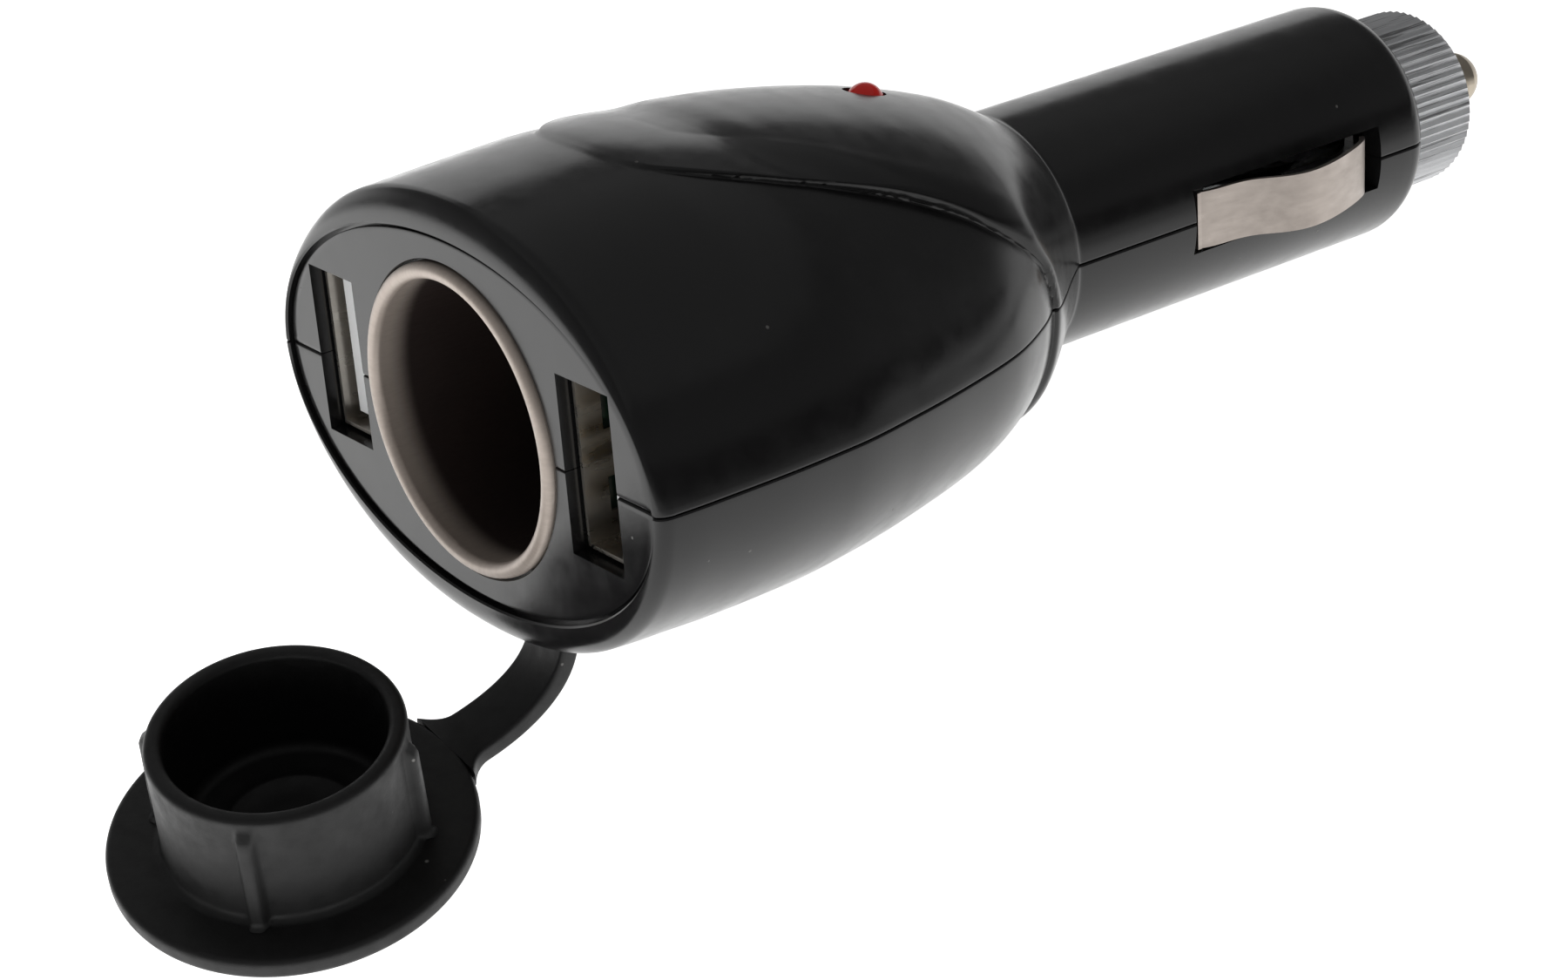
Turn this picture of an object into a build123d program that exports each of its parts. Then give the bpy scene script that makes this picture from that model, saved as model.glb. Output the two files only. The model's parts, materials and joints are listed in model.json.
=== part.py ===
from build123d import *
import math
import os

# ---------------------------------------------------------------------------
# Lighter socket splitter with two charging ports and a tethered dust cap.
# Millimetres. The origin is on the plug axis where the barrel leaves the
# housing; +Y runs along the plug to its tip, +X to the right, +Z up.
# ---------------------------------------------------------------------------

# driving dimensions
BODY_LEN = 52.0          # front face to barrel root
WALL = 2.0               # housing wall
FRONT_WALL = 2.4         # thickness of the oval front wall
BARREL_R = 10.35         # plug barrel radius at the root land
BARREL_R2 = 10.1         # plug barrel radius past the land
LAND_LEN = 11.0          # length of the root land
BARREL_LEN = 41.2        # barrel root to barrel end
BARREL_BORE = 8.4        # hollow of the barrel
NOSE_Y = 36.0            # start of the solid barrel nose
RIM_S = 46.7             # collar rim: distance from the front

PANEL_A, PANEL_B = 23.7, 13.9    # sunk front panel, half axes
GROOVE_W, GROOVE_D = 0.4, 0.8    # groove round the panel
PANEL_SINK = 0.25

SOCKET_R = 10.7          # bore of the socket tube
SOCKET_T = 0.5
SOCKET_LEN = 34.0        # depth of the tube
SOCKET_STEP, SOCKET_R2 = 30.2, 10.2   # narrower bottom that holds the insulator
LIP_R = 11.95            # rolled rim, outer radius

USB_X, USB_Z = 16.5, 0.6         # port centres
USB_H, USB_W, USB_T = 12.5, 5.12, 0.3   # clear opening and sheet thickness
USB_DEPTH = 16.0
USB_SINK = 1.4           # port shells behind the front face

SLOT_Y0, SLOT_Y1, SLOT_H = 12.8, 34.7, 5.5   # side contact slots
STRIP_W, STRIP_T = 4.8, 0.4

FUSE_CAP_R, FUSE_CAP_LEN, KNURLS = 7.75, 8.5, 64
TIP_R, TIP_LEN = 2.4, 8.0

LED_S, LED_TOP = 39.4, 16.0     # distance from the front, top of the dome
LED_R = 1.5

# dust cap at rest
CAP_C = Vector(-2.49, -16.41 - BODY_LEN, -27.68)   # middle of the flange's upper face
CAP_N = Vector(0.217, -0.137, 0.967).normalized()  # way the cup opens
CAP_R, CAP_H, CAP_WALL = 9.57, 9.6, 1.45
CAP_RIB_R, CAP_RIB_W = 10.35, 1.3
FLANGE_R, FLANGE_T = 13.75, 1.7
STRAP_W, STRAP_T = 5.0, 1.6
STRAP_S = 6.2            # strap slot, distance from the front

# section of each half: superellipse about a centre beyond the seam, so that
# the halves meet in a slight edge; exponent and centre offset, above and below
SECTION = {True: (2.06, 4.0), False: (2.06, 1.5)}
# oval body above the seam: distance from the front, half width, half height
MAIN_UP = [
    (0.0, 25.0, 16.8), (4.0, 25.2, 17.25), (10.0, 25.25, 17.65), (14.0, 25.15, 17.8), (18.0, 24.85, 17.65),
    (23.0, 24.0, 17.05), (27.0, 23.15, 16.3), (31.0, 22.15, 15.5), (36.0, 20.55, 14.4), (41.0, 17.85, 13.2),
    (43.0, 16.4, 12.65), (46.0, 13.7, 11.8),
]
# below the seam
MAIN_LOW = [
    (0.0, 25.0, 16.5), (4.0, 25.2, 17.15), (10.0, 25.25, 17.55), (14.0, 25.15, 17.65), (18.0, 24.85, 17.6),
    (24.0, 23.8, 17.4), (30.0, 22.4, 16.8), (36.0, 20.55, 15.9), (41.0, 17.85, 14.8), (43.0, 16.4, 14.1),
    (46.0, 13.7, 12.8),
]
# raised hood on top, running into the collar: distance, half width, half height
HOOD = [
    (9.0, 13.0, 15.2), (14.0, 15.8, 16.8), (17.2, 16.6, 17.4), (19.5, 16.9, 17.68), (21.0, 17.05, 17.8),
    (25.5, 16.95, 17.45), (29.3, 16.95, 17.0), (32.5, 17.15, 16.6), (35.6, 17.35, 16.05), (38.1, 17.4, 15.55),
    (40.7, 16.9, 14.95), (42.9, 16.1, 14.35), (44.5, 15.3, 13.8), (RIM_S, 14.2, 13.1),
]
# collar band below the seam
BAND = [
    (37.0, 16.8, 12.6), (40.0, 17.1, 13.9), (42.9, 16.1, 14.5), (44.5, 15.3, 14.5), (RIM_S, 14.2, 14.0),
]

os.makedirs("parts", exist_ok=True)
PIECES = {}


def keep(name, shape):
    PIECES[name] = shape


def at(s):
    """Y of a section at distance s behind the front face."""
    return s - BODY_LEN


def half_oval(s, a, b, upper, plain=False):
    p, h = (2.0 + 0.3 * min(1.0, max(0.0, (46.0 - s) / 6.0)), 0.0) if plain else SECTION[upper]
    sign = 1 if upper else -1
    if not plain:
        h *= min(1.0, max(0.0, (46.0 - s) / 18.0))
    top = b + h
    half = a / (1 - (h / top) ** p) ** (1 / p)
    pts = []
    for i in range(23):
        t = math.pi * i / 22
        x = a * math.cos(t) if 0 < i < 22 else a * (1 if i == 0 else -1)
        z = top * max(0.0, 1 - abs(x / half) ** p) ** (1 / p) - h if 0 < i < 22 else 0.0
        pts.append((x, sign * z))
    arc = Spline(*pts)
    face = make_face(arc + Line(arc @ 1, arc @ 0))
    return Plane((0, at(s), 0), x_dir=(1, 0, 0), z_dir=(0, -1, 0)) * face


def oval_loft(rows, upper, inset=0.0, plain=False, ruled=False):
    return loft([half_oval(s, a - inset, b - inset, upper, plain) for s, a, b in rows], ruled=ruled)


def turned(points):
    """Solid of revolution about the plug axis from (radius, y) points."""
    return revolve(make_face(Polyline(*points, close=True)), axis=Axis.Y, revolution_arc=360)


def block(x0, x1, y0, y1, z0, z1):
    return Pos((x0 + x1) / 2, (y0 + y1) / 2, (z0 + z1) / 2) * Box(x1 - x0, y1 - y0, z1 - z0)


def rod(r, y0, y1, x=0.0, z=0.0):
    return Pos(x, (y0 + y1) / 2, z) * Rot(90, 0, 0) * Cylinder(r, y1 - y0)


def post(r, z0, z1, x, y):
    return Pos(x, y, (z0 + z1) / 2) * Cylinder(r, z1 - z0)


def dome_arc(r, y0, h):
    """Arc from (r, y0) up to (0, y0 + h), centred on the axis."""
    big = (r * r + h * h) / (2 * h)
    cy = y0 + h - big
    half = math.asin(r / big) / 2
    return ThreePointArc((r, y0), (big * math.sin(half), cy + big * math.cos(half)), (0, y0 + h))


def mirror_x(shape):
    return mirror(shape, about=Plane.YZ)


def lerp_rows(rows, s):
    for p, q in zip(rows, rows[1:]):
        if p[0] <= s <= q[0]:
            k = (s - p[0]) / (q[0] - p[0])
            return tuple(u + k * (v - u) for u, v in zip(p, q))
    return rows[-1]


# ---------------------------------------------------------------------------
# housing halves
# ---------------------------------------------------------------------------
rear_profile = make_face(
    Polyline((0, -2.0), (BARREL_R, -2.0), (BARREL_R, LAND_LEN),
             (BARREL_R2, LAND_LEN + 1.2), (BARREL_R2, BARREL_LEN - 2.5))
    + ThreePointArc(
        (BARREL_R2, BARREL_LEN - 2.5),
        (BARREL_R2 - 2.5 + 2.5 * math.cos(math.pi / 4), BARREL_LEN - 2.5 + 2.5 * math.sin(math.pi / 4)),
        (BARREL_R2 - 2.5, BARREL_LEN),
    )
    + Polyline((BARREL_R2 - 2.5, BARREL_LEN), (0, BARREL_LEN), (0, -2.0))
)
rear = revolve(rear_profile, axis=Axis.Y, revolution_arc=360)

inner_s = [FRONT_WALL, 10.0, 17.0, 24.0, 30.0, 36.0, 41.0, 44.5]


def panel_oval(a, b, y0, y1):
    face = Plane((0, y0, 0), x_dir=(1, 0, 0), z_dir=(0, -1, 0)) * Ellipse(a, b)
    return extrude(face, amount=-(y1 - y0))


def build_half(upper):
    rows = MAIN_UP if upper else MAIN_LOW
    main = oval_loft(rows, upper)
    front_edges = [e for e in main.edges() if abs(e.center().Y - at(0)) < 0.01 and e.geom_type != GeomType.LINE]
    main = fillet(front_edges, 0.9)
    hood_rows = HOOD if upper else BAND
    hood = oval_loft(hood_rows, upper, plain=True)
    collar = oval_loft([hood_rows[-1], (BODY_LEN + 0.6, BARREL_R - 0.3, BARREL_R - 0.3)], upper, plain=True, ruled=True)
    half_space = block(-60, 60, -80, 80, 0, 60) if upper else block(-60, 60, -80, 80, -60, 0)
    outer = main + hood + collar + (rear & half_space)

    inner_rows = [lerp_rows(rows, s) for s in inner_s]
    hollow = oval_loft([(s, a, b) for s, a, b in inner_rows], upper, WALL)
    if upper:
        hollow += oval_loft([r for r in HOOD if 18.0 <= r[0] <= 43.0], upper, WALL, plain=True)
    hollow += rod(BARREL_BORE, -10, NOSE_Y) & half_space
    body = outer - hollow

    # screw bosses behind the port boards
    for x in (-SCREW_X, SCREW_X):
        boss = post(2.7, 0, 13, x, SCREW_Y) if upper else post(3.4, -14, 0, x, SCREW_Y)
        body += boss & outer
    # rib that steadies the fuse, and one that holds the spring seat
    for y0, y1, r in ((14.5, 16.0, 3.55), (-0.6, 0.6, 2.6)):
        rib = (rod(BARREL_BORE + 0.5, y0, y1) - rod(r, y0 - 1, y1 + 1)) & half_space
        if y0 < 0:
            for x in (-6.6, 6.6):
                rib -= rod(1.2, y0 - 1, y1 + 1, x, 0)
        body += rib
    if upper:
        # posts for the small board under the light
        for x in (-4.6, 4.6):
            body += post(1.1, LED_BOARD_Z + 1.0, 14.0, x, at(LED_S)) & outer

    # front panel, groove, socket hole and port openings
    groove = panel_oval(PANEL_A + GROOVE_W, PANEL_B + GROOVE_W, at(0) - 1, at(0) + GROOVE_D)
    groove -= panel_oval(PANEL_A, PANEL_B, at(0) - 2, at(0) + GROOVE_D + 1)
    body -= groove
    body -= panel_oval(PANEL_A, PANEL_B, at(0) - 1, at(0) + PANEL_SINK)
    body -= rod(LIP_R + 0.2, at(0) - 1, at(0) + 1.3)
    body -= rod(SOCKET_R + SOCKET_T + 0.1, at(0) - 1, at(0) + FRONT_WALL + 1)
    for x in (-USB_X, USB_X):
        ow, oh = USB_W / 2 + USB_T + 0.1, USB_H / 2 + USB_T + 0.1
        body -= block(x - ow, x + ow, at(0) - 1, at(0) + FRONT_WALL + 1, USB_Z - oh, USB_Z + oh)
    # slots for the side contacts
    for x in (-1, 1):
        body -= block(min(x * 4.4, x * 14), max(x * 4.4, x * 14), SLOT_Y0, SLOT_Y1, -SLOT_H / 2, SLOT_H / 2)
    # threaded mouth for the fuse cap
    body -= rod(5.95, NOSE_Y - 1, BARREL_LEN + 1)
    if upper:
        body -= post(LED_R + 0.2, 8.0, 20.0, 0, at(LED_S))
        for x in (-SCREW_X, SCREW_X):
            body -= post(0.95, -1, 8.0, x, SCREW_Y)
    else:
        body -= block(-STRAP_W / 2 - 0.3, STRAP_W / 2 + 0.3, at(STRAP_S) - STRAP_T / 2 - 0.3, at(STRAP_S) + STRAP_T / 2 + 0.3, -20, -12.0)
        for x in (-SCREW_X, SCREW_X):
            body -= post(1.4, -20, 1, x, SCREW_Y)
            body -= post(2.3, -20, SCREW_HEAD_Z, x, SCREW_Y)
    return body


SCREW_X, SCREW_Y, SCREW_HEAD_Z = 12.4, -13.8, -6.0
LED_BOARD_Z = 5.2

upper_housing = build_half(True)
lower_housing = build_half(False)
keep("upper_housing", upper_housing)
keep("lower_housing", lower_housing)

screws = None
for x in (-SCREW_X, SCREW_X):
    screw = post(2.1, SCREW_HEAD_Z - 1.5, SCREW_HEAD_Z, x, SCREW_Y) + post(0.95, SCREW_HEAD_Z - 0.5, 6.5, x, SCREW_Y)
    screw -= block(x - 0.3, x + 0.3, SCREW_Y - 1.4, SCREW_Y + 1.4, SCREW_HEAD_Z - 2, SCREW_HEAD_Z - 0.7)
    screw -= block(x - 1.4, x + 1.4, SCREW_Y - 0.3, SCREW_Y + 0.3, SCREW_HEAD_Z - 2, SCREW_HEAD_Z - 0.7)
    screws = screw if screws is None else screws + screw
keep("housing_screws", screws)

# ---------------------------------------------------------------------------
# socket
# ---------------------------------------------------------------------------
lip_y = at(0) - 0.35
tube_end = at(0) + SOCKET_LEN
tube_out = SOCKET_R + SOCKET_T
tube = make_face(
    Polyline((SOCKET_R, lip_y + 0.65), (SOCKET_R, at(SOCKET_STEP)), (SOCKET_R2, at(SOCKET_STEP)), (SOCKET_R2, tube_end),
             (6.8, tube_end), (6.8, tube_end + SOCKET_T), (SOCKET_R2 + SOCKET_T, tube_end + SOCKET_T),
             (SOCKET_R2 + SOCKET_T, at(SOCKET_STEP) + 0.5), (tube_out, at(SOCKET_STEP) + 0.2), (tube_out, lip_y + 1.35), (LIP_R, lip_y + 1.1), (LIP_R, lip_y + 0.6))
    + ThreePointArc((LIP_R, lip_y + 0.6), ((LIP_R + SOCKET_R) / 2, lip_y), (SOCKET_R, lip_y + 0.65))
)
keep("socket_tube", revolve(tube, axis=Axis.Y, revolution_arc=360))

insulator = turned([(2.15, tube_end - 1.6), (SOCKET_R2 - 0.1, tube_end - 1.6), (SOCKET_R2 - 0.1, tube_end),
                    (6.6, tube_end), (6.6, tube_end + 2.4), (2.15, tube_end + 2.4)])
keep("socket_insulator", insulator)
rivet = turned([(0, tube_end - 3.2), (1.6, tube_end - 3.1), (3.2, tube_end - 2.6), (4.2, tube_end - 1.6),
                (2.0, tube_end - 1.6), (2.0, tube_end + 6.0), (0, tube_end + 6.0)])
keep("socket_center_contact", rivet)
nut_face = Plane((0, tube_end + 2.4, 0), x_dir=(1, 0, 0), z_dir=(0, 1, 0)) * RegularPolygon(3.6, 6, major_radius=False)
nut = extrude(nut_face, amount=2.4) - rod(2.05, tube_end + 2, tube_end + 6)
keep("socket_nut", nut)

# ---------------------------------------------------------------------------
# charging ports: shell, tongue, contacts. Tongues sit towards the outside.
# ---------------------------------------------------------------------------
usb_y0 = at(0) + USB_SINK
usb_y1 = usb_y0 + USB_DEPTH


def usb_shell():
    x, z = USB_X, USB_Z
    ox, oz = USB_W / 2 + USB_T, USB_H / 2 + USB_T
    s = block(x - ox, x + ox, usb_y0, usb_y1, z - oz, z + oz)
    s -= block(x - USB_W / 2, x + USB_W / 2, usb_y0 - 1, usb_y1 - USB_T, z - USB_H / 2, z + USB_H / 2)
    for sx in (-1, 1):
        wall_in = x + sx * USB_W / 2
        wall_out = x + sx * ox
        for dz in (-3.1, 3.1):
            s -= block(min(wall_in, wall_out) - 0.5, max(wall_in, wall_out) + 0.5, usb_y0 + 2.0, usb_y0 + 8.2, z + dz - 1.3, z + dz + 1.3)
            bend = make_face(Polyline(
                (wall_out, usb_y0 + 8.2), (wall_out - sx * 0.45, usb_y0 + 5.2), (wall_out - sx * 0.6, usb_y0 + 4.0),
                (wall_out - sx * 0.35, usb_y0 + 2.7), (wall_out - sx * 0.65, usb_y0 + 2.7), (wall_out - sx * 0.9, usb_y0 + 4.0),
                (wall_out - sx * 0.75, usb_y0 + 5.2), (wall_in, usb_y0 + 8.2), close=True))
            s += Pos(0, 0, z + dz - 0.85) * extrude(bend, amount=1.7, dir=(0, 0, 1))
    return s


def usb_tongue():
    x, z = USB_X, USB_Z
    t = block(x, x + 1.84, usb_y0 + 0.9, usb_y1 - 2.0, z - 5.55, z + 5.55)
    t += block(x - USB_W / 2, x + USB_W / 2, usb_y1 - 2.2, usb_y1 - USB_T, z - USB_H / 2, z + USB_H / 2)
    return t


def usb_contacts():
    x, z = USB_X, USB_Z
    c = None
    for dz in (-3.5, -1.0, 1.0, 3.5):
        strip = block(x - 0.25, x, usb_y0 + 1.8, usb_y1 - 2.2, z + dz - 0.5, z + dz + 0.5)
        c = strip if c is None else c + strip
    return c


shell_r, tongue_r, contacts_r = usb_shell(), usb_tongue(), usb_contacts()
keep("usb_shell_right", shell_r)
keep("usb_tongue_right", tongue_r)
keep("usb_contacts_right", contacts_r)
keep("usb_shell_left", mirror_x(shell_r))
keep("usb_tongue_left", mirror_x(tongue_r))
keep("usb_contacts_left", mirror_x(contacts_r))

# boards stand beside the socket, against the inner face of each port shell
board_x1 = USB_X - USB_W / 2 - USB_T
board_x0 = board_x1 - 1.2
board_y0, board_y1 = at(0) + FRONT_WALL + 0.4, at(0) + 33.0
board = block(board_x0, board_x1, board_y0, board_y1, USB_Z - 7.6, USB_Z + 7.6)
keep("port_board_right", board)
keep("port_board_left", mirror_x(board))

coil_y = usb_y1 + 5.4
coil = Pos(board_x1 + 2.2, coil_y, 2.6) * Rot(0, 90, 0) * (Cylinder(4.2, 4.4) - (Cylinder(4.3, 2.4) - Cylinder(3.3, 2.4)))
keep("coil", coil)
chip = block(board_x1, board_x1 + 1.5, coil_y - 2.5, coil_y + 2.5, -6.4, -2.4)
for dy in (-1.9, -0.65, 0.65, 1.9):
    chip += block(board_x1, board_x1 + 0.4, coil_y + dy - 0.2, coil_y + dy + 0.2, -7.2, -1.9)
keep("regulator_chip", chip)
caps = None
for dz in (-3.4, 3.6):
    c = Pos(-(board_x1 + 2.6), coil_y, dz) * Rot(90, 0, 0) * (Cylinder(2.6, 7.0) - (Cylinder(2.7, 0.5) - Cylinder(2.35, 0.5)).moved(Pos(0, 0, 2.4)))
    caps = c if caps is None else caps + c
keep("capacitors", caps)

# ---------------------------------------------------------------------------
# indicator light on its small board
# ---------------------------------------------------------------------------
led_y = at(LED_S)
dome = revolve(
    make_face(
        Polyline((0, 9.4), (1.9, 9.4), (1.9, 10.4), (LED_R, 10.4), (LED_R, LED_TOP - 1.3))
        + dome_arc(LED_R, LED_TOP - 1.3, 1.3)
        + Line((0, LED_TOP), (0, 9.4))
    ),
    axis=Axis.Y, revolution_arc=360,
)
dome = Pos(0, led_y, 0) * Rot(90, 0, 0) * dome
led = dome
for x in (-1.27, 1.27):
    led += block(x - 0.25, x + 0.25, led_y - 0.25, led_y + 0.25, LED_BOARD_Z + 1.0, 9.6)
keep("indicator_light", led)
keep("light_board", block(-6.4, 6.4, led_y - 2.6, led_y + 2.6, LED_BOARD_Z, LED_BOARD_Z + 1.0))

# ---------------------------------------------------------------------------
# side contact springs: S-shaped strips in the barrel slots
# ---------------------------------------------------------------------------
STRIP_PTS = [(8.9, 13.25), (9.75, 13.45), (10.25, 15.2), (10.5, 17.4), (10.95, 18.8), (12.05, 20.5), (12.95, 22.6),
             (13.05, 24.2), (12.65, 26.8), (11.75, 29.8), (10.9, 31.8), (10.3, 32.6), (9.95, 32.8)]


def strip():
    outer = Spline(*[(x, y) for x, y in STRIP_PTS[1:]])
    inner_pts = []
    n = 16
    for i in range(n + 1):
        p, t = outer @ (i / n), outer % (i / n)
        inner_pts.append((p.X - t.Y * STRIP_T, p.Y + t.X * STRIP_T))
    inner = Spline(*reversed(inner_pts))
    face = make_face(outer + Line(outer @ 1, inner @ 0) + inner + Line(inner @ 1, outer @ 0))
    s = Pos(0, 0, -STRIP_W / 2) * extrude(face, amount=STRIP_W, dir=(0, 0, 1))
    s += block(8.7, 9.95, 13.2, 13.6, -STRIP_W / 2, STRIP_W / 2)
    return s


strip_r = strip()
keep("side_contact_right", strip_r)
keep("side_contact_left", mirror_x(strip_r))

# ---------------------------------------------------------------------------
# fuse cap, tip, fuse and spring
# ---------------------------------------------------------------------------
cap_y0 = BARREL_LEN + 0.1
cap_y1 = cap_y0 + FUSE_CAP_LEN
star = []
for i in range(KNURLS * 2):
    r = FUSE_CAP_R if i % 2 == 0 else FUSE_CAP_R - 0.32
    a = math.pi * i / KNURLS
    star.append((r * math.cos(a), r * math.sin(a)))
knurl_face = Plane((0, cap_y0, 0), x_dir=(1, 0, 0), z_dir=(0, 1, 0)) * make_face(Polyline(*star, close=True))
knurl = extrude(knurl_face, amount=FUSE_CAP_LEN)
knurl &= turned([(0, cap_y0), (FUSE_CAP_R - 0.5, cap_y0), (FUSE_CAP_R + 0.1, cap_y0 + 0.6),
                 (FUSE_CAP_R + 0.1, cap_y1 - 0.9), (FUSE_CAP_R - 0.8, cap_y1), (0, cap_y1)])
fuse_cap = knurl + rod(5.7, NOSE_Y + 0.6, cap_y0 + 0.5)
fuse_cap -= rod(4.4, NOSE_Y, cap_y1 - 2.0)
fuse_cap -= rod(TIP_R + 0.2, cap_y1 - 3, cap_y1 + 1)
keep("fuse_cap", fuse_cap)

tip_y1 = cap_y1 + TIP_LEN
tip = make_face(
    Polyline((0, cap_y1 - 5.2), (2.4, cap_y1 - 5.2), (2.4, cap_y1 - 3.7), (4.1, cap_y1 - 3.7), (4.1, cap_y1 - 2.3),
             (TIP_R, cap_y1 - 2.3), (TIP_R, tip_y1 - 1.9))
    + dome_arc(TIP_R, tip_y1 - 1.9, 1.9)
    + Line((0, tip_y1), (0, cap_y1 - 5.2))
)
keep("tip_contact", revolve(tip, axis=Axis.Y, revolution_arc=360))

fuse_y1 = cap_y1 - 5.2
fuse_y0 = fuse_y1 - 30.0
glass = rod(2.9, fuse_y0 + 0.5, fuse_y1 - 0.5) - rod(2.3, fuse_y0, fuse_y1)
keep("fuse_glass", glass)
ends = None
for y0, y1, c0, c1 in ((fuse_y0, fuse_y0 + 6.0, fuse_y0 + 0.5, fuse_y0 + 7), (fuse_y1 - 6.0, fuse_y1, fuse_y1 - 7, fuse_y1 - 0.5)):
    e = rod(3.2, y0, y1) - rod(2.9, c0, c1)
    ends = e if ends is None else ends + e
keep("fuse_end_caps", ends)
keep("fuse_wire", rod(0.2, fuse_y0 + 0.5, fuse_y1 - 0.5))

seat = turned([(0, 0.7), (3.6, 0.7), (3.6, 2.2), (3.2, 2.2), (3.2, 1.3), (0, 1.3)])
seat += rod(1.6, -2.0, 0.8)
keep("spring_seat", seat)
coil_len = fuse_y0 - 1.3
spring_path = Helix(pitch=(coil_len - 0.7) / 6.0, height=coil_len - 0.7, radius=2.45)
spring = sweep(Plane(spring_path @ 0, z_dir=spring_path % 0) * Circle(0.3), path=spring_path)
keep("fuse_spring", Pos(0, 1.65, 0) * Rot(-90, 0, 0) * spring)


def wire(points, radii, r):
    path = FilletPolyline(*points, radius=radii)
    return sweep(Plane(path @ 0, z_dir=path % 0) * Circle(r), path=path)


# plus lead from the spring seat to the socket rivet; ground leads from the
# side contacts to the back of the socket tube
keep("plus_wire", wire([(0, -2.05, 0), (0, -5.0, 0), (0, -8.0, -1.0), (0, tube_end + 6.05, -1.0)], [4.0, 4.0], 0.75))
ground = wire([(6.6, 12.9, 0), (6.6, -10.0, 0), (8.6, tube_end + SOCKET_T + 0.6, -2.0)], [6.0], 0.75)
keep("ground_wires", ground + mirror_x(ground))

# ---------------------------------------------------------------------------
# rubber dust cap and strap
# ---------------------------------------------------------------------------
cap_d = (Vector(0, 1, 0) - CAP_N * CAP_N.dot(Vector(0, 1, 0))).normalized()
cap_x = cap_d.cross(CAP_N)
cap_plane = Plane(CAP_C, x_dir=cap_x, z_dir=CAP_N)
profile = make_face(Polyline(
    (0, -FLANGE_T), (FLANGE_R - 0.5, -FLANGE_T), (FLANGE_R, -FLANGE_T + 0.5), (FLANGE_R, -0.5), (FLANGE_R - 0.5, 0),
    (CAP_R, 0), (CAP_R, CAP_H - 0.5), (CAP_R - 0.5, CAP_H), (CAP_R - CAP_WALL, CAP_H), (CAP_R - CAP_WALL, 0.3), (0, 0.3), close=True))
cup = revolve(Plane.XZ * profile, axis=Axis.Z, revolution_arc=360)
for i in range(4):
    rib = make_face(Polyline((CAP_R - 0.6, -0.3), (CAP_RIB_R, -0.3), (CAP_RIB_R, CAP_H - 1.6), (CAP_R - 0.2, CAP_H - 0.7), (CAP_R - 0.6, CAP_H - 0.7), close=True))
    fin = extrude(Plane.XZ * rib, amount=CAP_RIB_W / 2, both=True)
    cup += Rot(0, 0, 45 + 90 * i) * fin
keep("dust_cap", cap_plane.location * cup)

start = Vector(0, at(STRAP_S), -14.95)
down = Vector(0, at(STRAP_S), -18.0)
end = CAP_C + cap_d * (FLANGE_R + 0.05) - CAP_N * (FLANGE_T / 2)
h0, h1 = down + Vector(0, 0.3, -4.6), end + cap_d * 5.2


def bezier(t):
    k = 1 - t
    return down * (k ** 3) + h0 * (3 * k * k * t) + h1 * (3 * k * t * t) + end * (t ** 3)


def bezier_dir(t):
    k = 1 - t
    return ((h0 - down) * (3 * k * k) + (h1 - h0) * (6 * k * t) + (end - h1) * (3 * t * t)).normalized()


sections = []
STEPS = 10
for i in range(STEPS + 1):
    t = i / STEPS
    p, d = bezier(t), bezier_dir(t)
    wx = Vector(1, 0, 0) * (1 - t) + cap_x * t
    wx = (wx - d * wx.dot(d)).normalized()
    sections.append(Plane(p, x_dir=wx, z_dir=d) * Rectangle(STRAP_W, STRAP_T))
strap = loft(sections)
strap += block(-STRAP_W / 2, STRAP_W / 2, start.Y - STRAP_T / 2, start.Y + STRAP_T / 2, down.Z, -14.6)
strap += block(-3.9, 3.9, start.Y - 1.7, start.Y + 1.7, -14.95, -13.5)
keep("cap_strap", strap)

for name, shape in PIECES.items():
    export_step(shape, f"parts/{name}.step")
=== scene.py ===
import json
import math
import bmesh
import bpy
import numpy as np
from mathutils import Matrix, Vector


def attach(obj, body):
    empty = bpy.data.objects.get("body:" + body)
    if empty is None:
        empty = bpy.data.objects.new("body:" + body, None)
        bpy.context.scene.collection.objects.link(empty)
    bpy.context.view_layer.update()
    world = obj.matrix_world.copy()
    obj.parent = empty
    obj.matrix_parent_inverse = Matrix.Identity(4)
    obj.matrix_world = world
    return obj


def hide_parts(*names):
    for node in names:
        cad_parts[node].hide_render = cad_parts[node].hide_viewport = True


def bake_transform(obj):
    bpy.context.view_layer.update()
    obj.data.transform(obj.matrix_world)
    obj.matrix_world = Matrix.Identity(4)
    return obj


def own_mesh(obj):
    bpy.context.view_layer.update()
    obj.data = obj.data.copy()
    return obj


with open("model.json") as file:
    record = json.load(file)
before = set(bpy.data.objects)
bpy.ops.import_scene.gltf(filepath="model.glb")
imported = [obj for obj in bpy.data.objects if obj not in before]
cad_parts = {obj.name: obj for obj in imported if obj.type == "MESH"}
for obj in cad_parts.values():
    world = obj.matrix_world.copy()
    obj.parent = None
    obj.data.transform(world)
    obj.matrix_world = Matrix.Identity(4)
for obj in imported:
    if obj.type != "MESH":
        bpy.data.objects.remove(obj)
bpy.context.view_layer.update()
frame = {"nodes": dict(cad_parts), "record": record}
nodes = frame["nodes"]
scene = bpy.context.scene
MM = 0.001


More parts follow.
